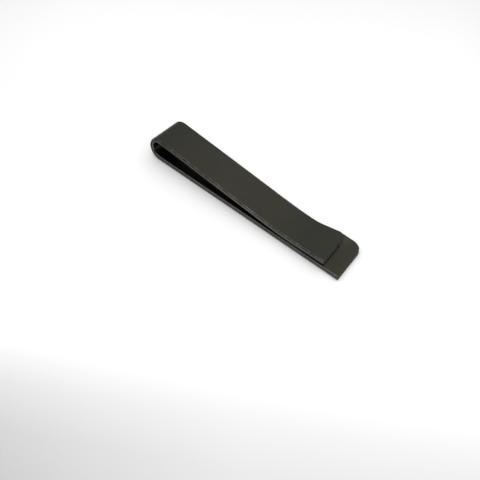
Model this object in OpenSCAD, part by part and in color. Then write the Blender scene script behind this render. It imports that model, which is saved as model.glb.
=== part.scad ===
// Tie clip folded from one springy metal strip: a flat front bar, a hairpin fold,
// and a shorter spring arm that comes back down and grips against the bar near its tip.
// +X runs from the fold to the open tip, +Y to the edge that widens at the tip, +Z up.
// The bar's outer face lies at Z = 0. The origin is on that face, halfway along the clip
// and in the middle of the plain strip's width.

/* [Strip] */
// Width of the plain strip
strip_w = 6.35; // [4.5:0.05:9]
// Thickness of the strip
strip_t = 0.8; // [0.6:0.05:1.2]
// Clear height inside the fold
fold_gap = 2.9; // [2:0.1:3.6]

/* [Front bar] */
// Length over all, from the back of the fold to the sharp corner of the bar's tip
clip_len = 41.4; // [32:0.1:65]
// How far the tip stands out past the plain far edge
bar_flare = 1.75; // [0.5:0.05:3]
// Angle at which the far edge widens
bar_flare_angle = 15; // [8:1:30]
// Distance from the end of the widening to the sharp corner
bar_tip_len = 6; // [4.5:0.1:10]
// Radius of the tip's far corner
bar_corner_r = 2.2; // [0.5:0.1:3.5]
// Radius that blends the widening edge into the straight ones
bar_blend_r = 5; // [1:0.5:12]

/* [Spring arm] */
// How far the arm's sharp corner stops short of the bar's sharp corner
arm_setback = 3.05; // [1:0.05:10]
// Distance from the arm's sharp corner back to the line where it grips
grip_setback = 6.9; // [4:0.1:12]
// Gap between arm and bar at the grip line while nothing is held
grip_gap = 0.4; // [0.1:0.05:0.6]
// Radius of the long bow that turns the arm's end up again
bow_r = 60; // [30:1:120]
// Angle at which the arm's end lifts away past the grip line
lead_in_angle = 1.5; // [0:0.1:5]
// Length of the arm's widening stretch, back from its sharp corner
arm_flare_len = 6.3; // [4:0.1:12]
// Angle at which the arm's far edge widens
arm_flare_angle = 11; // [4:1:20]
// Radius that blends the plain far edge into the widening one
arm_blend_r = 12; // [2:0.5:25]
// How far inside the plain far edge the arm's corner cut starts
arm_cut_w = 1.15; // [0.5:0.05:3]
// Angle of the corner cut, measured from straight across the strip
arm_cut_angle = 29; // [20:1:45]
// Radius at both ends of the corner cut
arm_corner_r = 0.5; // [0.1:0.05:0.8]

/* [Ends] */
// Angle at which both ends are sheared off, measured from straight across the strip
end_angle = 9.5; // [0:0.5:20]
// Radius that takes the point off the two sharp corners
point_r = 0.15; // [0.05:0.05:0.5]

/* [Hidden] */

$fn = 180;
// Straight pieces in each rounded corner and in the bow
arc_steps = 16;
// How far a blank runs past the outline that trims it
overrun = 1;
gunmetal = [0.24, 0.235, 0.215];

half_w = strip_w / 2;
tip_x = clip_len / 2;
arm_x = tip_x - arm_setback;
grip_x = arm_x - grip_setback;

// The fold's two radii and the centre of its curve, as [x, z]
fold_in_r = fold_gap / 2;
fold_out_r = fold_in_r + strip_t;
fold_centre = [fold_out_r - tip_x, fold_out_r];

// The bow's centre stands straight above the grip line, as [x, z].
// The arm's straight run touches both the fold's curve and the bow's, which sets its slope.
bow_centre = [grip_x, 2 * strip_t + grip_gap + bow_r];
centres = bow_centre - fold_centre;
both_r = fold_out_r + bow_r;
arm_run = sqrt(centres * centres - both_r * both_r);
arm_slope = atan2(both_r, arm_run) - atan2(centres[1], centres[0]);

// Where the slanted end of a piece with its sharp corner at sharp_x lies at this y
function end_x(sharp_x, y) = sharp_x - (y + half_w) * tan(end_angle);
function polar(r, a) = [r * cos(a), r * sin(a)];
function turned(v, a) = [v[0] * cos(a) - v[1] * sin(a), v[0] * sin(a) + v[1] * cos(a)];
function unit(v) = v / norm(v);
function place(corner) = [corner[0], corner[1]];

// The arc that rounds corner c, which lies between a and b, to radius r
function round_corner(a, c, b, r) =
    let (
        to_a = unit(a - c),
        to_b = unit(b - c),
        half_angle = acos(to_a * to_b) / 2,
        centre = c + unit(to_a + to_b) * r / sin(half_angle),
        first = c + to_a * r / tan(half_angle) - centre,
        last = c + to_b * r / tan(half_angle) - centre,
        turn = atan2(cross(first, last), first * last)
    )
    r == 0 ? [c] : [for (i = [0:arc_steps]) centre + turned(first, turn * i / arc_steps)];

// An outline from its corners, each as [x, y, radius]
function outline(corners) =
    let (n = len(corners))
    [
        for (i = [0:n - 1])
            each round_corner(
                place(corners[(i + n - 1) % n]),
                place(corners[i]),
                place(corners[(i + 1) % n]),
                corners[i][2]
            )
    ];

// Front bar, seen from above
bar_far_y = half_w + bar_flare;
bar_wide_x = tip_x - bar_tip_len;
bar_flare_x = bar_wide_x - bar_flare / tan(bar_flare_angle);
bar_corners = [
    [fold_centre[0], -half_w, 0],
    [tip_x, -half_w, point_r],
    [end_x(tip_x, bar_far_y), bar_far_y, bar_corner_r],
    [bar_wide_x, bar_far_y, bar_blend_r],
    [bar_flare_x, half_w, bar_blend_r],
    [fold_centre[0], half_w, 0],
];

// Spring arm, seen from above: its corner cut runs from cut_from to where it meets the far edge
cut_from = [end_x(arm_x, half_w - arm_cut_w), half_w - arm_cut_w];
flare_from = [arm_x - arm_flare_len, half_w];
cut_way = polar(1, 90 + arm_cut_angle);
flare_way = polar(1, arm_flare_angle);
cut_len = cross(flare_from - cut_from, flare_way) / cross(cut_way, flare_way);
cut_to = cut_from + cut_way * cut_len;
arm_corners = [
    [fold_centre[0], -half_w, 0],
    [arm_x, -half_w, point_r],
    [cut_from[0], cut_from[1], arm_corner_r],
    [cut_to[0], cut_to[1], arm_corner_r],
    [flare_from[0], flare_from[1], arm_blend_r],
    [fold_centre[0], half_w, 0],
];

// One side of the arm, seen from the near edge as [x, z]: from the fold's radius fold_r,
// down the straight run, round the bow's radius at_bow_r and up the lead-in
lead_len = grip_setback + overrun;
function arm_side(fold_r, at_bow_r) = [
    fold_centre + polar(fold_r, 90 - arm_slope),
    for (i = [0:arc_steps])
        bow_centre + polar(at_bow_r, -90 - arm_slope + (arm_slope + lead_in_angle) * i / arc_steps),
    bow_centre + polar(at_bow_r, lead_in_angle - 90) + polar(lead_len, lead_in_angle),
];

function reversed(points) = [for (i = [len(points) - 1:-1:0]) points[i]];

// Flat bar with the sheared, widened tip. Its outer face is the one that shows on the tie.
module front_bar() {
    color(gunmetal)
        linear_extrude(strip_t)
            polygon(outline(bar_corners));
}

// Hairpin bend from the end of the bar, round the back, to the root of the arm
module fold() {
    color(gunmetal)
        translate([fold_centre[0], 0, fold_centre[1]])
            rotate([90, 0, 0])
                rotate([0, 0, 90 - arm_slope])
                    rotate_extrude(angle = 180 + arm_slope)
                        translate([fold_in_r, -half_w])
                            square([strip_t, strip_w]);
}

// Arm that slopes down from the fold, grips at the bow and lifts a little to its widened end
module spring_arm() {
    color(gunmetal)
        intersection() {
            rotate([90, 0, 0])
                linear_extrude(2 * (cut_to[1] + overrun), center = true)
                    polygon(concat(
                        arm_side(fold_out_r, bow_r),
                        reversed(arm_side(fold_in_r, bow_r + strip_t))
                    ));
            linear_extrude(2 * fold_out_r + overrun)
                polygon(outline(arm_corners));
        }
}

front_bar();
fold();
spring_arm();
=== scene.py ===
import math

import bmesh
import bpy
import numpy as np
from mathutils import Matrix, Vector


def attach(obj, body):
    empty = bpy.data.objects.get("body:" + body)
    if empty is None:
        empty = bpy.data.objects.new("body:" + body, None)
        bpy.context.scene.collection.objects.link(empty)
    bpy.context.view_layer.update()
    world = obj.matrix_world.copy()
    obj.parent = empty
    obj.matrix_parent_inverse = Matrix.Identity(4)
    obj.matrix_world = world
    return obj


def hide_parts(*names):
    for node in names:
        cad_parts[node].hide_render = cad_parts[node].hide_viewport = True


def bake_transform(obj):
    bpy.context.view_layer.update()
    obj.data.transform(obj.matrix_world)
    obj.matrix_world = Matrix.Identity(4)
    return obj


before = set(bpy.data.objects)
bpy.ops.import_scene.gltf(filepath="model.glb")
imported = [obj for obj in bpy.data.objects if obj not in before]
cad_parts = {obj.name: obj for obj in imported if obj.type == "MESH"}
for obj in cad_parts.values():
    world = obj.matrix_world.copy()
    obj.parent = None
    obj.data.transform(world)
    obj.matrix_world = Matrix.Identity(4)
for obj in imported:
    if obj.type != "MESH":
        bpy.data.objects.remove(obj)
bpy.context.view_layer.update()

MM = 0.001
scene = bpy.context.scene

# Camera
# The clip lies on its front bar. It is seen from above its open near edge, with the sheared
# tip towards the lower right of the picture.
picture_side = 480
sensor = 36.0
view_turn = math.radians(39.877)
view_height = math.radians(47.105)
view_roll = math.radians(3.045)
view_distance = 230.141 * MM
focal_pixels = 1398.6
aim_start = Vector((1.6, 0, 0)) * MM
aim_right = -3.001 * MM
aim_up = -5.133 * MM
nearest_share, farthest_share = 0.02, 50

back = Vector((
    math.sin(view_turn) * math.cos(view_height),
    -math.cos(view_turn) * math.cos(view_height),
    math.sin(view_height),
))
right = Vector((math.cos(view_turn), math.sin(view_turn), 0))
up = back.cross(right)
picture_right = right * math.cos(view_roll) + up * math.sin(view_roll)
picture_up = up * math.cos(view_roll) - right * math.sin(view_roll)
aim = aim_start + right * aim_right + up * aim_up

camera = bpy.data.objects.new("camera", bpy.data.cameras.new("camera"))
scene.collection.objects.link(camera)
camera.data.sensor_width = sensor
camera.data.lens = focal_pixels / picture_side * sensor
camera.data.clip_start = view_distance * nearest_share
camera.data.clip_end = view_distance * farthest_share
axes = Matrix((picture_right, picture_up, back)).transposed().to_4x4()
camera.matrix_world = Matrix.Translation(aim + back * view_distance) @ axes
scene.camera = camera

# Front bar
# The flat half of one strip of spring steel, sheared to a slant at the tip and widened there
# on its far edge. Its edges were tumbled smooth before the whole clip was plated gunmetal.

# Sizes of the strip and the bar in millimetres and degrees, as the solid parts have them
strip_w = 6.35
strip_t = 0.8
fold_gap = 2.9
clip_len = 41.4
end_angle = math.radians(9.5)
point_r = 0.15
bar_flare = 1.75
bar_flare_angle = math.radians(15)
bar_tip_len = 6.0
bar_corner_r = 2.2
bar_blend_r = 5.0
half_w = strip_w / 2
tip_x = clip_len / 2
fold_mid_r = (fold_gap + strip_t) / 2
fold_out_r = fold_gap / 2 + strip_t
fold_x = fold_out_r - tip_x

# Where the arm has to grip, and the bow that lifts its end again
arm_setback = 3.05
grip_setback = 6.9
grip_gap = 0.4
bow_r = 60.0
lead_in = math.radians(1.5)
spare_run = 1.0
bow_mid_r = bow_r + strip_t / 2
grip_x = tip_x - arm_setback - grip_setback
reach = grip_x - fold_x
rise = 2 * strip_t + grip_gap + bow_r - fold_out_r
both_r = fold_out_r + bow_r

# The bent strip's course after the bar: how long each stretch is along the middle of its
# thickness, and how far it turns. The arm's straight run touches both curves.
arm_run = math.sqrt(reach ** 2 + rise ** 2 - both_r ** 2)
arm_slope = math.atan2(both_r, arm_run) - math.atan2(rise, reach)
fold_turn = math.pi + arm_slope
fold_run = fold_mid_r * fold_turn
bow_turn = arm_slope + lead_in
course = [
    (fold_run, -fold_turn),
    (arm_run, 0.0),
    (bow_mid_r * bow_turn, bow_turn),
    (grip_setback + spare_run, 0.0),
]


def strip_at(along):
    """Middle of the strip, so far past the bar, as x and z, and the angle that its outer skin faces."""
    x, z, facing = fold_x, strip_t / 2, -math.pi / 2
    if along <= 0:
        return x - along, z, facing
    for run, turn in course:
        part = min(along, run)
        turned = turn * part / run
        if turn:
            radius = run / turn
            x -= radius * (math.cos(facing + turned) - math.cos(facing))
            z -= radius * (math.sin(facing + turned) - math.sin(facing))
        else:
            x += part * math.sin(facing)
            z -= part * math.cos(facing)
        facing += turned
        along -= part
        if along <= 0:
            break
    return x, z, facing


def in_strip(along, across, depth):
    """The point at this depth under the strip's outer skin, in metres."""
    x, z, facing = strip_at(along)
    out = strip_t / 2 - depth
    return Vector((x + out * math.cos(facing), across, z + out * math.sin(facing))) * MM


def trimmed_edge(corners, straight_step, turn_step):
    """Rows of x, y and heading along an edge up to where its last corner has turned.

    Each corner is x, y and radius.
    """
    rows, spot = [], np.array(corners[0][:2])
    for before, corner, after in zip(corners, corners[1:], corners[2:]):
        way_in = np.subtract(corner[:2], before[:2])
        way_out = np.subtract(after[:2], corner[:2])
        heading = math.atan2(way_in[1], way_in[0])
        turn = math.atan2(way_out[1], way_out[0]) - heading
        turn = math.atan2(math.sin(turn), math.cos(turn))
        cut_back = corner[2] * math.tan(abs(turn) / 2)
        start = corner[:2] - way_in / np.linalg.norm(way_in) * cut_back
        steps = max(1, math.ceil(np.linalg.norm(start - spot) / straight_step))
        rows += [(*(spot + (start - spot) * i / steps), heading) for i in range(steps)]
        steps = max(1, math.ceil(abs(turn) / turn_step))
        radius = math.copysign(corner[2], turn)
        middle = start + radius * np.array((-math.sin(heading), math.cos(heading)))
        for now in np.linspace(heading, heading + turn, steps + 1):
            spot = middle + radius * np.array((math.sin(now), -math.cos(now)))
            rows.append((*spot, now))
    return np.array(rows)


def paired_edges(near, far, closest):
    """The near and the far edge with as many rows each, paired by their share of the length."""
    shares, lengths = [], []
    for rows in (near, far):
        steps = np.linalg.norm(np.diff(rows[:, :2], axis=0), axis=1)
        lengths.append(steps.sum())
        shares.append(np.concatenate(([0], np.cumsum(steps))) / steps.sum())
    kept = [0.0]
    for share in sorted((*shares[0], *shares[1])):
        if (share - kept[-1]) * max(lengths) > closest:
            kept.append(share)
    kept[-1] = 1.0
    return [
        np.stack([np.interp(kept, share, rows[:, i]) for i in range(3)], axis=1)
        for share, rows in zip(shares, (near, far))
    ]


# The strip is drawn with round edges. Its ends are sheared off, which leaves their edges nearly
# sharp. Steps are millimetres in from the side. Rows closer together than closest_rows are made one.
edge_r = 0.30
shear_r = 0.07
edge_steps = 7
side_shares = (0.5,)
skin_steps = (0.05, 0.12, 0.22, 0.6, 0.85, 1.2)
skin_shares = (1 / 3, 1 / 2, 2 / 3)
closest_rows = 0.04

# How steeply an edge has to run across the strip to count as its sheared end
end_starts, end_span = 0.5, 0.35

# Wear from rubbing, which is 1 on a bare edge and fades to 0 on the skin within its reach
wear_reach = 0.5
skin_wear = 0.6
far_wear = 0.74
outer_wear = 0.8
# The inner edges wear more than the outer ones; the extra is painted highlight along them
inner_wear_and_highlight = 1.15
end_wear = 0.2


def end_x(sharp_x, y):
    """Where the slanted end with its sharp corner at sharp_x lies at this y."""
    return sharp_x - (y + half_w) * math.tan(end_angle)


def round_depth(inset, radius):
    """How far a rounded edge has dropped below the skin, this far in from the side."""
    return radius - math.sqrt(max(0, radius ** 2 - max(0, radius - inset) ** 2))


def strip_piece(name, near, far, along_of, sharp_x=None, shaped=in_strip, closest=closest_rows):
    """A closed length of the strip between two edges.

    Its end is sheared and rounded, or cut square for the next piece.
    """
    near, far = paired_edges(near, far, closest)
    sheared = sharp_x is not None
    last = len(near) - 1
    rim_line = np.concatenate((near[:, :2], far[::-1, :2]))
    rim_wears = np.array([skin_wear] * last + [skin_wear * end_wear] + [far_wear] * last)
    places, points, notes, faces = [], [], [], []

    def point(x, y, depth, wear, cut, end):
        """Adds a point, seen from above at x and y, and gives its number."""
        along = along_of(x)
        places.append(np.array((x, y)))
        points.append(shaped(along, y, depth))
        notes.append((along, y, depth, wear, cut, end))
        return len(points) - 1

    def rim(x, y, heading, side):
        """Points round the edge, from the outer skin to the inner one. side is -1 near and 1 far."""
        out = side * np.array((-math.sin(heading), math.cos(heading)))
        end = float(np.clip((abs(math.sin(heading)) - end_starts) / end_span, 0, 1))
        at_point = side < 0 < heading
        in_y = y + half_w
        in_x = (end_x(sharp_x, y) - x) * math.cos(end_angle) if at_point else 0
        least_wear = far_wear if side > 0 else skin_wear
        kept = 1 - (1 - end_wear) * end
        halves, drops = [], []
        corner_r = edge_r + (shear_r - edge_r) * end
        for skin, most_wear in ((0, outer_wear), (1, inner_wear_and_highlight)):
            half = []
            for i in range(edge_steps + 1):
                turned = i / edge_steps * math.pi / 2
                if at_point:
                    y_in = max(edge_r * (1 - math.sin(turned)), in_y)
                    x_in = max(shear_r * (1 - math.sin(turned)), in_x)
                    spot = (end_x(sharp_x, y_in - half_w) - x_in / math.cos(end_angle), y_in - half_w)
                    drop = max(round_depth(y_in, edge_r), round_depth(x_in, shear_r))
                else:
                    spot = np.array((x, y)) - corner_r * (1 - math.sin(turned)) * out
                    drop = corner_r * (1 - math.cos(turned))
                wear = kept * (least_wear + (most_wear - least_wear) * math.sin(2 * turned))
                half.append((*spot, strip_t - drop if skin else drop, wear, i / edge_steps))
            halves.append(half)
            drops.append(drop)
        flat = strip_t - sum(drops)
        side_rows = [
            (*halves[0][-1][:2], drops[0] + flat * share, kept * skin_wear / 2, 1.0) for share in side_shares
        ]
        return [
            point(px, py, depth, wear, share * (1 - end), min(1, 2 * share) * end)
            for px, py, depth, wear, share in (*halves[0], *side_rows, *halves[1][::-1])
        ]

    def worn(spot):
        """How worn the flat skin is at this spot, for its distance from the nearest edge."""
        starts, ways = rim_line[:-1], np.diff(rim_line, axis=0)
        share = np.clip(((spot - starts) * ways).sum(1) / (ways ** 2).sum(1), 0, 1)
        gaps = np.linalg.norm(starts + ways * share[:, None] - spot, axis=1)
        wears = np.maximum(0, 1 - gaps / wear_reach) ** 2 * rim_wears
        return float(wears.max())

    def across(start, end):
        """Spots from one edge to the other, closer together where wear fades."""
        width = np.linalg.norm(end - start)
        shares = [*(d / width for d in skin_steps), *skin_shares, *(1 - d / width for d in skin_steps[::-1])]
        return [start + (end - start) * share for share in shares]

    near_rims = [rim(*row, -1) for row in near]
    far_rims = [rim(*row, 1) for row in far]
    end_rims = []
    if sheared:
        end_rims = [rim(*spot, near[-1][2], -1) for spot in across(near[-1][:2], far[-1][:2])]
    skins = []
    for layer, depth in ((0, 0.0), (-1, strip_t)):
        rows = []
        for k in range(last + 1):
            if sheared and k == last:
                inner = [r[layer] for r in end_rims]
            else:
                start, end = places[near_rims[k][layer]], places[far_rims[k][layer]]
                inner = [point(*spot, depth, worn(spot), 0.0, 0.0) for spot in across(start, end)]
            rows.append([near_rims[k][layer], *inner, far_rims[k][layer]])
        skins.append(rows)
    sheets = [*skins]
    if sheared:
        sheets.append(near_rims + end_rims + far_rims[::-1])
    else:
        sheets += [near_rims, far_rims]
    for rows in sheets:
        for row, following in zip(rows, rows[1:]):
            for a, b, c, d in zip(row, row[1:], following[1:], following):
                faces.append((a, b, c, d))
    for k in (0,) if sheared else (0, last):
        outer, inner = skins[0][k], skins[1][k]
        faces.append((*near_rims[k], *inner[1:-1], *far_rims[k][::-1], *outer[-2:0:-1]))
    return solid(name, points, notes, faces)


sharp_angle = math.radians(50)
weld_gap = 0.001


def solid(name, points, notes, faces):
    """The mesh with its marks.

    They are where each point lies in the flat strip, how worn it is, and how far it turns to a sheared
    side or end.
    """
    mesh = bpy.data.meshes.new(name)
    mesh.from_pydata(points, [], faces)
    notes = np.array(notes, np.float32)
    for mark, kind, values in (
        ("strip", "FLOAT_VECTOR", notes[:, :3]),
        ("wear", "FLOAT", notes[:, 3]),
        ("cut", "FLOAT", notes[:, 4]),
        ("end", "FLOAT", notes[:, 5]),
    ):
        store = mesh.attributes.new(mark, kind, "POINT")
        store.data.foreach_set("vector" if kind == "FLOAT_VECTOR" else "value", values.ravel())
    form = bmesh.new()
    form.from_mesh(mesh)
    bmesh.ops.remove_doubles(form, verts=form.verts, dist=weld_gap * MM)
    bmesh.ops.recalc_face_normals(form, faces=form.faces)
    form.to_mesh(mesh)
    form.free()
    mesh.shade_smooth()
    mesh.set_sharp_from_angle(angle=sharp_angle)
    piece = bpy.data.objects.new(name, mesh)
    scene.collection.objects.link(piece)
    return piece


def put(tree, kind, feeds=None, **settings):
    """A node of this kind. feeds gives its inputs, each as a value or as another node's output."""
    made = tree.nodes.new("ShaderNode" + kind)
    for name, value in settings.items():
        setattr(made, name, value)
    for name, value in (feeds or {}).items():
        if isinstance(value, bpy.types.NodeSocket):
            tree.links.new(value, made.inputs[name])
        else:
            made.inputs[name].default_value = value
    return made


def reckon(tree, operation, *values, clamp=False):
    """One step of arithmetic."""
    return put(tree, "Math", dict(enumerate(values)), operation=operation, use_clamp=clamp).outputs[0]


def effect(name, inputs, outputs):
    """An empty node group with these sockets, its inputs and the node that takes its outputs."""
    tree = bpy.data.node_groups.new(name, "ShaderNodeTree")
    for direction, sockets in (("INPUT", inputs), ("OUTPUT", outputs)):
        for socket, kind in sockets.items():
            tree.interface.new_socket(socket, in_out=direction, socket_type="NodeSocket" + kind)
    return tree, tree.nodes.new("NodeGroupInput").outputs, tree.nodes.new("NodeGroupOutput").inputs


def cloud(tree, strip, size, **settings):
    """Soft noise of this size over the flat strip, from 0 to 1."""
    near_size = reckon(tree, "DIVIDE", 1.0, size)
    return put(tree, "TexNoise", {"Vector": strip, "Scale": near_size, **settings}).outputs[0]


def around_zero(tree, value):
    """Soft noise turned into a swing to both sides of nothing."""
    return reckon(tree, "SUBTRACT", value, 0.5)


def staged(tree, place, stages):
    """A colour or a level that changes along stages, each a place and what holds there."""
    first, final = stages[0][0], stages[-1][0]
    share = put(tree, "MapRange", {"Value": place, "From Min": first, "From Max": final}).outputs[0]
    ramp = put(tree, "ValToRGB", {"Fac": share})
    stops = ramp.color_ramp.elements
    while len(stops) < len(stages):
        stops.new(0.5)
    for stop, (where, held) in zip(stops, stages):
        stop.position = (where - first) / (final - first)
        stop.color = (*held, 1) if isinstance(held, tuple) else (held, held, held, 1)
    return ramp.outputs["Color"]


# Grain: fine lines along the strip, from rolling and from brushing before it was plated
grain, given, result = effect(
    "drawn grain",
    {"Strip": "Vector", "Line Length": "Float", "Line Width": "Float"},
    {"Height": "Float"},
)
fineness = put(grain, "CombineXYZ", {
    "X": reckon(grain, "DIVIDE", 1.0, given["Line Length"]),
    "Y": reckon(grain, "DIVIDE", 1.0, given["Line Width"]),
    "Z": reckon(grain, "DIVIDE", 1.0, given["Line Width"]),
}).outputs[0]
stretched = put(grain, "VectorMath", {0: given["Strip"], 1: fineness}, operation="MULTIPLY").outputs[0]
lines = put(grain, "TexNoise", {"Vector": stretched, "Scale": 1.0, "Detail": 3.0, "Roughness": 0.6})
grain.links.new(lines.outputs[0], result["Height"])

# Plating: the colour drifts a little between warm and cool and between green and purple,
# with a faint mottle that also dulls it unevenly
plating, given, result = effect(
    "plating tone",
    {
        "Strip": "Vector", "Color": "Color", "Warm Size": "Float", "Warm Drift": "Float",
        "Green Size": "Float", "Green Drift": "Float", "Mottle Size": "Float", "Mottle": "Float",
    },
    {"Color": "Color", "Haze": "Float"},
)
elsewhere = (31.0, 17.0, 5.0)
green_to_purple = -0.5
shifted = put(plating, "VectorMath", {0: given["Strip"], 1: elsewhere}, operation="ADD").outputs[0]
warm = around_zero(plating, cloud(plating, given["Strip"], given["Warm Size"]))
warm = reckon(plating, "MULTIPLY", warm, given["Warm Drift"])
green = around_zero(plating, cloud(plating, shifted, given["Green Size"]))
green = reckon(plating, "MULTIPLY", green, given["Green Drift"])
purple = reckon(plating, "MULTIPLY_ADD", green, green_to_purple, 1.0)
tinted = put(plating, "CombineColor", {
    "Red": reckon(plating, "ADD", purple, warm),
    "Green": reckon(plating, "ADD", 1.0, green),
    "Blue": reckon(plating, "SUBTRACT", purple, warm),
}).outputs[0]
haze = around_zero(plating, cloud(plating, given["Strip"], given["Mottle Size"], Detail=4.0, Roughness=0.7))
mottle = reckon(plating, "MULTIPLY_ADD", haze, given["Mottle"], 1.0)
toned = put(
    plating, "Mix", {"Factor": 1.0, "A": given["Color"], "B": tinted},
    data_type="RGBA", blend_type="MULTIPLY",
).outputs["Result"]
spread = put(plating, "VectorMath", {0: toned, "Scale": mottle}, operation="SCALE").outputs[0]
plating.links.new(spread, result["Color"])
plating.links.new(haze, result["Haze"])

# Edge wear: where the plating has rubbed thin, in patches and specks along the edges. Its mask
# also carries painted highlight lines on the edges.
rubbed, given, result = effect(
    "edge wear",
    {
        "Strip": "Vector", "Wear": "Float", "Patch": "Float", "Spread": "Float",
        "Speck": "Float", "Specks": "Float",
    },
    {"Mask": "Float"},
)
patches = around_zero(rubbed, cloud(rubbed, given["Strip"], given["Patch"], Detail=5.0, Roughness=0.65))
level = reckon(rubbed, "MULTIPLY_ADD", patches, given["Spread"], given["Wear"])
specks = around_zero(rubbed, cloud(rubbed, given["Strip"], given["Speck"], Detail=2.0))
level = reckon(rubbed, "MULTIPLY_ADD", specks, given["Specks"], level)
start_wear, full_wear = 0.62, 1.05
worn_mask = put(
    rubbed, "MapRange", {"Value": level, "From Min": start_wear, "From Max": full_wear},
    interpolation_type="SMOOTHSTEP",
)
rubbed.links.new(worn_mask.outputs[0], result["Mask"])

# Sheared face: smooth where the blade cut, then torn and a little rougher to the inner skin
sheared_face, given, result = effect(
    "sheared face",
    {"Strip": "Vector", "Cut": "Float", "Cut Depth": "Float", "Waviness": "Float", "Tear Size": "Float"},
    {"Torn": "Float", "Height": "Float"},
)
depth = put(sheared_face, "SeparateXYZ", {0: given["Strip"]}).outputs["Z"]
wave_size = 1.5
tear_blend = 0.05
wave = around_zero(sheared_face, cloud(sheared_face, given["Strip"], wave_size, Detail=3.0))
tear_line = reckon(sheared_face, "MULTIPLY_ADD", wave, given["Waviness"], given["Cut Depth"])
past = reckon(sheared_face, "SUBTRACT", depth, tear_line)
torn = put(
    sheared_face, "MapRange", {"Value": past, "From Min": -tear_blend, "From Max": tear_blend},
    interpolation_type="SMOOTHSTEP",
)
torn = reckon(sheared_face, "MULTIPLY", torn.outputs[0], given["Cut"])
crystal = cloud(sheared_face, given["Strip"], given["Tear Size"], Detail=3.0, Roughness=0.7)
sheared_face.links.new(torn, result["Torn"])
sheared_face.links.new(reckon(sheared_face, "MULTIPLY", torn, crystal), result["Height"])

# Handling marks: short hairlines that cross the grain at a slant
marks, given, result = effect(
    "handling marks",
    {"Strip": "Vector", "Slant": "Float", "Mark Length": "Float", "Mark Width": "Float"},
    {"Mask": "Float"},
)
slanted = put(
    marks, "VectorRotate", {"Vector": given["Strip"], "Angle": given["Slant"]}, rotation_type="Z_AXIS",
).outputs[0]
mark_grid = put(marks, "CombineXYZ", {
    "X": reckon(marks, "DIVIDE", 1.0, given["Mark Length"]),
    "Y": reckon(marks, "DIVIDE", 1.0, given["Mark Width"]),
    "Z": 1.0,
}).outputs[0]
mark_place = put(marks, "VectorMath", {0: slanted, 1: mark_grid}, operation="MULTIPLY").outputs[0]
hair = put(marks, "TexNoise", {"Vector": mark_place, "Scale": 1.0, "Detail": 1.0}).outputs[0]
mark_start, mark_full = 0.68, 0.76
hairline = put(marks, "MapRange", {"Value": hair, "From Min": mark_start, "From Max": mark_full})
marks.links.new(hairline.outputs[0], result["Mask"])

# The plating's finish. Sizes are in millimetres.
skin_rough = 0.34
edge_rough = 0.2
end_rough = 0.9
end_glance = 0.35
# The worn colour paints bare metal and also highlight lines along the edges
wear_and_highlight_color = (0.15, 0.147, 0.138, 1)
grain_sizes = {"Line Length": 5.0, "Line Width": 0.07}
grain_depth = 0.0012
grain_dulls = 0.16
haze_dulls = 0.14
tone_drift = {
    "Warm Size": 3.4, "Warm Drift": 0.30, "Green Size": 2.4, "Green Drift": 0.22,
    "Mottle Size": 0.35, "Mottle": 0.16,
}
wear_sizes = {"Patch": 2.2, "Spread": 1.0, "Speck": 0.28, "Specks": 0.7}
shear_sizes = {"Cut Depth": 0.42, "Waviness": 0.22, "Tear Size": 0.06}
mark_sizes = {"Mark Length": 3.5, "Mark Width": 0.09}
torn_dulls = 0.12
mark_shines = -0.1
torn_height = 6.0
mark_height = -0.8
side_sharpness = 3.0
polish_rate = 4.0

# The inner skin begins at the first depth and is whole at the second. An edge counts as flat up to
# the first share of its round, and as rounded from the second.
inner_from, inner_full = 0.3, 0.5
flat_share, rounded_share = 0.15, 0.3

# The gap under the arm's end shows as a dark line up to about the middle of the strip's width. Both
# the bar's face and the arm's end are painted dark there, a painted shade, up to the first y, and plain from
# the second.
bar_dark_until, bar_plain_from = 1.4, 2.2
end_dark_until, end_plain_from = 0.7, 1.3


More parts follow.
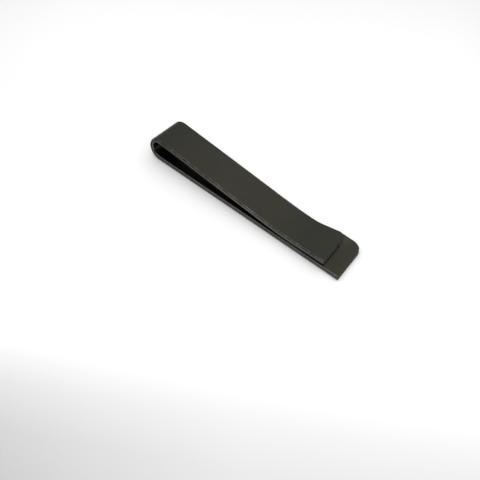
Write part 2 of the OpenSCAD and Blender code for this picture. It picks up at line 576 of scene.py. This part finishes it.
def gunmetal(name, slant, marks_turn, stages):
    """Gunmetal plating over steel.

    Stages hold at places in millimetres past the bar's flat length. Those of a skin, a side or an end
    are colours, the others levels. slant turns their lines to run along a sheared end.
    """
    made = bpy.data.materials.new(name)
    made.use_nodes = True
    tree = made.node_tree
    tree.nodes.clear()

    def mark(which, output):
        """What the mesh says about this place."""
        return put(tree, "Attribute", attribute_name=which).outputs[output]

    strip = mark("strip", "Vector")
    wear, cut, end = (mark(which, "Fac") for which in ("wear", "cut", "end"))
    parts = put(tree, "SeparateXYZ", {0: strip}).outputs
    across = reckon(tree, "ADD", parts["Y"], half_w)
    along = reckon(tree, "MULTIPLY_ADD", across, slant, parts["X"])

    def stepped(value, start, full):
        """0 at start, 1 at full and a soft step between."""
        return put(
            tree, "MapRange", {"Value": value, "From Min": start, "From Max": full},
            interpolation_type="SMOOTHSTEP",
        ).outputs[0]

    def blended(share, first, second):
        """Two colours mixed."""
        feeds = {"Factor": share, "A": first, "B": second}
        return put(tree, "Mix", feeds, data_type="RGBA").outputs["Result"]

    def balanced(share, first, second):
        """Two levels mixed."""
        return put(tree, "Mix", {0: share, 2: first, 3: second}, data_type="FLOAT").outputs[0]

    def held(what, otherwise=1.0):
        """What holds along the strip, or otherwise where the piece has no such stages."""
        return staged(tree, along, stages[what]) if what in stages else otherwise

    inner = stepped(parts["Z"], inner_from, inner_full)
    flat = reckon(tree, "SUBTRACT", 1.0, stepped(cut, 0.0, flat_share))
    side = reckon(tree, "POWER", cut, side_sharpness)
    skin = held("outer skin")
    if "inner skin" in stages:
        far = stepped(parts["Y"], bar_dark_until, bar_plain_from)
        inner_skin = blended(far, held("inner skin"), held("far inner skin"))
        skin = blended(reckon(tree, "MULTIPLY", inner, flat), skin, inner_skin)
    plated = blended(side, skin, held("side"))
    # Edge stages scale the colour of the rounds, a painted shade where they are below 1
    under = balanced(inner, 1.0, held("inner edge shade"))
    kept = balanced(stepped(cut, 0.0, rounded_share), 1.0, balanced(inner, held("outer edge shade"), under))
    plated = put(tree, "VectorMath", {0: plated, "Scale": kept}, operation="SCALE").outputs[0]
    if "end" in stages:
        # On the end's near part its tones run down the depth, with painted light and painted shade
        near = stepped(parts["Y"], end_plain_from, end_dark_until)
        end_skin = staged(tree, reckon(tree, "MULTIPLY", parts["Z"], near), stages["end"])
        plated = blended(end, plated, end_skin)
    tone = put(tree, "Group", {"Strip": strip, "Color": plated, **tone_drift}, node_tree=plating).outputs

    wears = put(tree, "Group", {"Strip": strip, "Wear": wear, **wear_sizes}, node_tree=rubbed)
    # Bare metal and painted highlight on the edges
    bared_and_highlit = reckon(tree, "MULTIPLY", wears.outputs["Mask"], under)
    bared_and_highlit = reckon(tree, "MULTIPLY", bared_and_highlit, held("rub_and_highlight"))
    color = blended(bared_and_highlit, tone["Color"], wear_and_highlight_color)

    lines = put(tree, "Group", {"Strip": strip, **grain_sizes}, node_tree=grain).outputs["Height"]
    blade = reckon(tree, "ADD", side, end)
    shear = put(tree, "Group", {"Strip": strip, "Cut": blade, **shear_sizes}, node_tree=sheared_face).outputs
    scratches = put(tree, "Group", {"Strip": strip, "Slant": marks_turn, **mark_sizes}, node_tree=marks)
    scratch = scratches.outputs["Mask"]

    rough = balanced(inner, skin_rough, held("inner roughness", skin_rough))
    rough = reckon(tree, "MULTIPLY_ADD", around_zero(tree, lines), grain_dulls, rough)
    rough = reckon(tree, "MULTIPLY_ADD", tone["Haze"], haze_dulls, rough)
    rough = reckon(tree, "MULTIPLY_ADD", shear["Torn"], torn_dulls, rough)
    rough = reckon(tree, "MULTIPLY_ADD", scratch, mark_shines, rough)
    rough = balanced(reckon(tree, "MULTIPLY", cut, polish_rate, clamp=True), rough, edge_rough)
    rough = balanced(end, rough, end_rough)
    height = reckon(tree, "MULTIPLY_ADD", shear["Height"], torn_height, lines)
    height = reckon(tree, "MULTIPLY_ADD", scratch, mark_height, height)
    bump = put(tree, "Bump", {"Height": height, "Distance": grain_depth * MM, "Strength": 1.0})
    shader = put(tree, "BsdfPrincipled", {
        "Base Color": color,
        "Metallic": 1.0,
        "Specular Tint": balanced(end, held("glance"), end_glance),
        "Roughness": rough,
        "Normal": bump.outputs["Normal"],
    })
    put(tree, "OutputMaterial", {"Surface": shader.outputs[0]})
    return made


# The bar's outline, seen from above. The near edge needs no points along its straight stretch.
straight_step = 1.5
turn_step = math.radians(5)
bar_far_y = half_w + bar_flare
bar_wide_x = tip_x - bar_tip_len
bar_flare_x = bar_wide_x - bar_flare / math.tan(bar_flare_angle)
whole_stretch = clip_len
bar_near = trimmed_edge(
    [(fold_x, -half_w, 0), (tip_x, -half_w, point_r), (end_x(tip_x, 0), 0, 0)], whole_stretch, 2 * turn_step
)
bar_far = trimmed_edge([
    (fold_x, half_w, 0),
    (bar_flare_x, half_w, bar_blend_r),
    (bar_wide_x, bar_far_y, bar_blend_r),
    (end_x(tip_x, bar_far_y), bar_far_y, bar_corner_r),
    (end_x(tip_x, 0), 0, 0),
], straight_step, turn_step)
front_bar = strip_piece("front_bar_strip", bar_near, bar_far, lambda x: fold_x - x, sharp_x=tip_x)

# Tones of the plating along the bar, at places that are negative from its fold end to its tip.
# Past the arm's end its inner skin lies open, duller and painted paler, a painted light. Right in
# front of the arm's end it is painted lighter still and just under it dark: painted light and
# painted shade along the gap. Further under the arm it stayed dark, and from worn_until to
# plain_from it takes on the shine of the outer skin.
end_slant = math.tan(end_angle)
bar_end = fold_x - tip_x
arm_stop = bar_end + arm_setback
open_rough = 0.85
worn_until, plain_from, rubbed_from = -30.0, -22.0, -16.0
side_middle = -8.0
bar_tone = (0.0415, 0.0405, 0.0330)
bar_end_tone = (0.130, 0.128, 0.114)
open_painted_light = (0.088, 0.0855, 0.0655)
open_painted_lights = [
    (bar_end, open_painted_light),
    (arm_stop - 1.5, open_painted_light),
    (arm_stop - 1.0, (0.094, 0.0915, 0.070)),
]
under_tones = [
    (worn_until, bar_tone),
    (plain_from, bar_tone),
    (0.0, bar_tone),
]
front_bar.data.materials.append(gunmetal("gunmetal_bar", slant=-end_slant, marks_turn=0.5, stages={
    "outer skin": [(bar_end, bar_tone), (0.0, bar_tone)],
    "inner skin": [
        *open_painted_lights,
        # Painted light right in front of the arm's end, then painted shade just under it
        (arm_stop - 0.5, (0.110, 0.107, 0.082)),
        (arm_stop, (0.140, 0.137, 0.106)),
        (arm_stop + 0.25, (0.026, 0.0255, 0.0208)),
        (arm_stop + 1.5, (0.036, 0.0352, 0.0288)),
        *under_tones,
    ],
    "far inner skin": [
        *open_painted_lights,
        # Painted light in front of the arm's end, fading to the plain tone under the arm
        (arm_stop - 0.5, (0.108, 0.105, 0.0805)),
        (arm_stop, (0.120, 0.117, 0.0905)),
        (arm_stop + 0.6, (0.092, 0.0895, 0.069)),
        (arm_stop + 2.0, (0.055, 0.054, 0.0435)),
        *under_tones,
    ],
    "inner roughness": [
        (bar_end, open_rough),
        (worn_until, open_rough),
        (plain_from, skin_rough),
        (0.0, skin_rough),
    ],
    # The sides are painted darker towards the fold, a painted shade under the higher arm
    "side": [
        (bar_end, (0.060, 0.060, 0.059)),
        (side_middle, (0.052, 0.053, 0.053)),
        (0.0, (0.042, 0.0425, 0.041)),
    ],
    "end": [(0.0, bar_end_tone), (strip_t, bar_end_tone)],
    # Painted shade on the inner rounded edges, at the open tip and under the arm
    "inner edge shade": [
        (bar_end, 0.8),
        (arm_stop - 0.5, 0.8),
        (arm_stop + 0.3, 1.0),
        (arm_stop + 2.0, 0.85),
        (plain_from, 0.85),
        (rubbed_from, 1.0),
        (0.0, 1.0),
    ],
    "rub_and_highlight": [(bar_end, 0.8), (0.0, 0.5)],
}))
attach(front_bar, "root")
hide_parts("front_bar")

# Fold
# The hairpin bend of the same strip, pressed round a mandrel. It joins the bar to the arm, and on
# the real clip it gives as the arm opens.
fold_step = fold_mid_r * math.radians(3)
seam_step = 0.02
fold_turns = np.arange(fold_step, fold_run - fold_step / 2, fold_step)
fold_places = [0.0, seam_step, *fold_turns, fold_run - seam_step, fold_run]
fold_near = np.array([(place, -half_w, 0.0) for place in fold_places])
fold_far = np.array([(place, half_w, 0.0) for place in fold_places])

# The outer skin stretches round the bend, which draws its edges in
drawn_in = 0.02


def in_fold(along, across, depth):
    """A point of the fold, with the outer skin a little narrower in the middle of the bend."""
    narrower = drawn_in * math.sin(math.pi * along / fold_run) ** 2 * (1 - depth / strip_t)
    return in_strip(along, across * (1 - narrower / half_w), depth)


fold = strip_piece(
    "fold_strip", fold_near, fold_far, lambda along: along, shaped=in_fold, closest=seam_step / 2
)

# Tones round the bend, from the bar at 0 to the arm. The outer skin is a little paler towards the
# arm, most at about 4 to 5 mm round, and its glancing shine is weaker on the turn.
fold_glance = 0.65
arm_root_tone = (0.0310, 0.0304, 0.0245)
arm_root_side = (0.037, 0.037, 0.034)
fold.data.materials.append(gunmetal("gunmetal_fold", slant=0.0, marks_turn=-0.4, stages={
    "outer skin": [
        (0.0, bar_tone),
        (4.2, (0.052, 0.0515, 0.0405)),
        (4.9, (0.050, 0.0495, 0.039)),
        (5.5, (0.0345, 0.0338, 0.0272)),
        (fold_run, arm_root_tone),
    ],
    # The sides go lighter and darker in bands round the bend
    "side": [
        (0.0, (0.034, 0.0345, 0.033)),
        (1.2, (0.038, 0.0385, 0.037)),
        (2.0, (0.056, 0.0565, 0.0545)),
        (2.7, (0.042, 0.0425, 0.0405)),
        (3.2, (0.027, 0.0273, 0.0265)),
        (3.8, (0.055, 0.0558, 0.0535)),
        (4.6, (0.055, 0.0558, 0.0535)),
        (fold_run, arm_root_side),
    ],
    # Painted shade on the outer rounded edges, darkest midway round the bend
    "outer edge shade": [
        (0.0, 0.75),
        (1.2, 0.5),
        (2.0, 0.35),
        (3.2, 0.35),
        (3.8, 0.7),
        (4.8, 0.8),
        (fold_run, 0.85),
    ],
    "rub_and_highlight": [(0.0, 0.5), (fold_run, 0.6)],
    "glance": [(0.0, 1.0), (1.0, fold_glance), (5.0, fold_glance), (fold_run, 1.0)],
}))
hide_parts("fold")
arm_root = in_strip(fold_run, 0, strip_t)
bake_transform(fold)

# Spring arm
# The rest of the strip. It comes down from the fold, bows against the bar where it grips, and
# lifts a little to an end that is widened, slanted and has its far corner cut off.
arm_x = tip_x - arm_setback
arm_flare_len = 6.3
arm_flare_angle = math.radians(11)
arm_blend_r = 12.0
arm_cut_w = 1.15
arm_cut_angle = math.radians(29)
arm_corner_r = 0.5
arm_samples = 400
arm_places = np.linspace(fold_run, sum(run for run, turn in course), arm_samples)
arm_xs = [strip_at(place)[0] for place in arm_places]


def along_arm(x):
    """How far past the bar the middle of the arm's thickness has this x."""
    return float(np.interp(x, arm_xs, arm_places))


root_x = arm_xs[0]
cut_from = np.array((end_x(arm_x, half_w - arm_cut_w), half_w - arm_cut_w))
flare_from = np.array((arm_x - arm_flare_len, half_w))
cut_way = np.array((-math.sin(arm_cut_angle), math.cos(arm_cut_angle)))
flare_way = np.array((math.cos(arm_flare_angle), math.sin(arm_flare_angle)))
cut_len = np.linalg.det((flare_from - cut_from, flare_way)) / np.linalg.det((cut_way, flare_way))
cut_to = cut_from + cut_way * cut_len
arm_near = trimmed_edge(
    [(root_x, -half_w, 0), (arm_x, -half_w, point_r), (end_x(arm_x, 0), 0, 0)], whole_stretch, 2 * turn_step
)
arm_far = trimmed_edge([
    (root_x, half_w, 0),
    (*flare_from, arm_blend_r),
    (*cut_to, arm_corner_r),
    (*cut_from, arm_corner_r),
    (end_x(arm_x, 0), 0, 0),
], straight_step / 2, turn_step)
spring_arm = strip_piece("spring_arm_strip", arm_near, arm_far, along_arm, sharp_x=arm_x)

# Tones from the fold to the arm's end, whose sheared face is painted dark low down over the gap, a
# painted shade, under a band of painted light.
arm_end = along_arm(arm_x)
spring_arm.data.materials.append(gunmetal("gunmetal_arm", slant=end_slant, marks_turn=0.25, stages={
    "outer skin": [
        (fold_run, arm_root_tone),
        (fold_run + 3, (0.0350, 0.0341, 0.0276)),
        (fold_run + 14, (0.0405, 0.0389, 0.0309)),
        (arm_end - 10, (0.0386, 0.0372, 0.0297)),
        (arm_end - 5, (0.0337, 0.0341, 0.0287)),
        (arm_end, (0.0360, 0.0365, 0.0307)),
    ],
    # Painted highlight: the sides are painted much lighter along the bow and the grip
    "side": [
        (fold_run, arm_root_side),
        (fold_run + 3, (0.048, 0.048, 0.044)),
        (fold_run + 18, (0.105, 0.104, 0.096)),
        (arm_end - 12, (0.118, 0.117, 0.108)),
        (arm_end, (0.082, 0.083, 0.080)),
    ],
    # A painted light band across the end's near part, and painted shade low down over the gap
    "end": [
        (0.0, (0.090, 0.090, 0.082)),
        (0.52, (0.180, 0.180, 0.164)),
        (0.62, (0.040, 0.040, 0.0365)),
        (strip_t, (0.012, 0.012, 0.011)),
    ],
    # Painted shade on the rounded edges, the inner ones darkest over the gap towards the end
    "outer edge shade": [(fold_run, 0.85), (fold_run + 3, 1.0), (arm_end, 1.0)],
    "inner edge shade": [(fold_run, 1.0), (fold_run + 20, 0.85), (fold_run + 25, 0.45), (arm_end, 0.35)],
    # From the grip on the arm's edges take more of the worn colour, painted highlight as well as wear
    "rub_and_highlight": [(fold_run, 0.45), (fold_run + 16, 0.6), (fold_run + 22, 1.0), (arm_end, 1.0)],
}))
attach(spring_arm, "arm")
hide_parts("spring_arm")

# Table and light
# A sheet of white paper on a table, under an even white sky of soft lamps. The clip lies on it, and
# it is no part of the clip.
table_half = 1.5
table_drop = 0.02 * MM
sheet_mesh = bpy.data.meshes.new("table")
corner_signs = ((-1, -1), (1, -1), (1, 1), (-1, 1))
corners = [(table_half * x, table_half * y, -table_drop) for x, y in corner_signs]
sheet_mesh.from_pydata(corners, [], [(0, 1, 2, 3)])
table = bpy.data.objects.new("table", sheet_mesh)
scene.collection.objects.link(table)

paper = bpy.data.materials.new("white_paper")
paper.use_nodes = True
tree = paper.node_tree
tree.nodes.clear()
paper_white = 0.95
paper_lift = 0.13

# Painted shade on the sheet, seen only by the camera: it darkens a little away from the lamps, most
# in front on the left, and faintly at the other borders. Each stage is a distance in metres and how much of
# the white goes.
front_painted_shade = ((0.034, 0), (0.0365, 0.015), (0.044, 0.165), (0.052, 0.27), (0.060, 0.32))
back_painted_shade = ((0.024, 0), (0.038, 0.015), (0.046, 0.04), (0.060, 0.10))
side_painted_shade = ((0.022, 0), (0.036, 0.015), (0.048, 0.06))
leftward = -0.15
left_reach = 0.035
left_more, right_less = 1.22, 0.72
spot = put(tree, "TexCoord").outputs["Object"]
toward = (math.sin(view_turn), -math.cos(view_turn), 0)
nearer = put(tree, "VectorMath", {0: spot, 1: toward}, operation="DOT_PRODUCT").outputs["Value"]
sideways = put(tree, "VectorMath", {0: spot, 1: tuple(right)}, operation="DOT_PRODUCT").outputs["Value"]

painted_shade = staged(tree, reckon(tree, "MULTIPLY_ADD", sideways, leftward, nearer), front_painted_shade)
turned_down = put(tree, "MapRange", {
    "Value": sideways, "From Min": -left_reach, "From Max": 0.0, "To Min": left_more, "To Max": right_less,
}).outputs[0]
painted_shade = reckon(tree, "MULTIPLY", painted_shade, turned_down)
painted_shade = reckon(tree, "ADD", painted_shade, staged(tree, reckon(tree, "MULTIPLY", nearer, -1.0), back_painted_shade))
painted_shade = reckon(tree, "ADD", painted_shade, staged(tree, reckon(tree, "ABSOLUTE", sideways), side_painted_shade))
seen = put(tree, "LightPath")
# The painted shade takes white off the sheet for camera rays only
left = reckon(tree, "SUBTRACT", 1.0, reckon(tree, "MULTIPLY", painted_shade, seen.outputs["Is Camera Ray"]))
sheet_grey = put(tree, "CombineColor", {
    shade: reckon(tree, "MULTIPLY", left, paper_white) for shade in ("Red", "Green", "Blue")
}).outputs[0]
sheet_color = put(tree, "BsdfDiffuse", {"Color": sheet_grey})
looked_at = reckon(tree, "MAXIMUM", seen.outputs["Is Camera Ray"], seen.outputs["Is Glossy Ray"])
lift = reckon(tree, "MULTIPLY", reckon(tree, "MULTIPLY", looked_at, paper_lift), left)
glow = put(tree, "Emission", {"Color": (1, 1, 1, 1), "Strength": lift})
both = put(tree, "AddShader", {0: sheet_color.outputs[0], 1: glow.outputs[0]})
put(tree, "OutputMaterial", {"Surface": both.outputs[0]})
sheet_mesh.materials.append(paper)

world = bpy.data.worlds.new("studio")
world.use_nodes = True
scene.world = world
sky = world.node_tree
sky.nodes.clear()

# How bright the sky is at heights in degrees. Low down it is darker on the near side, and lighter
# on the far side, where the lamps shine on a wall.
sky_levels = ((0, 0.3), (30, 0.62), (45, 0.97), (55, 1.12), (72, 1.62))
sky_peak = 1.62
dim = 1.1
dimmest = 0.25
far_lift = 0.8
way = put(sky, "TexCoord").outputs["Generated"]
height = put(sky, "SeparateXYZ", {0: way}).outputs["Z"]
sky_stages = [(math.sin(math.radians(degrees)), level / sky_peak) for degrees, level in sky_levels]
sky_glow = staged(sky, height, sky_stages)
camera_ray = put(sky, "LightPath").outputs["Is Camera Ray"]
facing = put(sky, "VectorMath", {0: way, 1: toward}, operation="DOT_PRODUCT").outputs["Value"]
near_side = reckon(sky, "MAXIMUM", facing, 0.0)
far_side = reckon(sky, "MAXIMUM", reckon(sky, "MULTIPLY", facing, -1.0), 0.0)
low = reckon(sky, "SUBTRACT", 1.0, reckon(sky, "MAXIMUM", height, 0.0))
kept_light = reckon(sky, "MULTIPLY_ADD", reckon(sky, "MULTIPLY", near_side, low), -dim, 1.0)
kept_light = reckon(sky, "MAXIMUM", kept_light, dimmest)
kept_light = reckon(sky, "MULTIPLY_ADD", reckon(sky, "MULTIPLY", far_side, low), far_lift, kept_light)
lit = put(sky, "VectorMath", {0: sky_glow, "Scale": kept_light}, operation="SCALE").outputs[0]
plain_white = (1 / sky_peak, 1 / sky_peak, 1 / sky_peak, 1)
sky_color = put(sky, "Mix", {"Factor": camera_ray, "A": lit, "B": plain_white}, data_type="RGBA")
sky_light = put(sky, "Background", {"Color": sky_color.outputs["Result"], "Strength": sky_peak})
put(sky, "OutputWorld", {"Surface": sky_light.outputs[0]})

scene.view_settings.view_transform = "Standard"
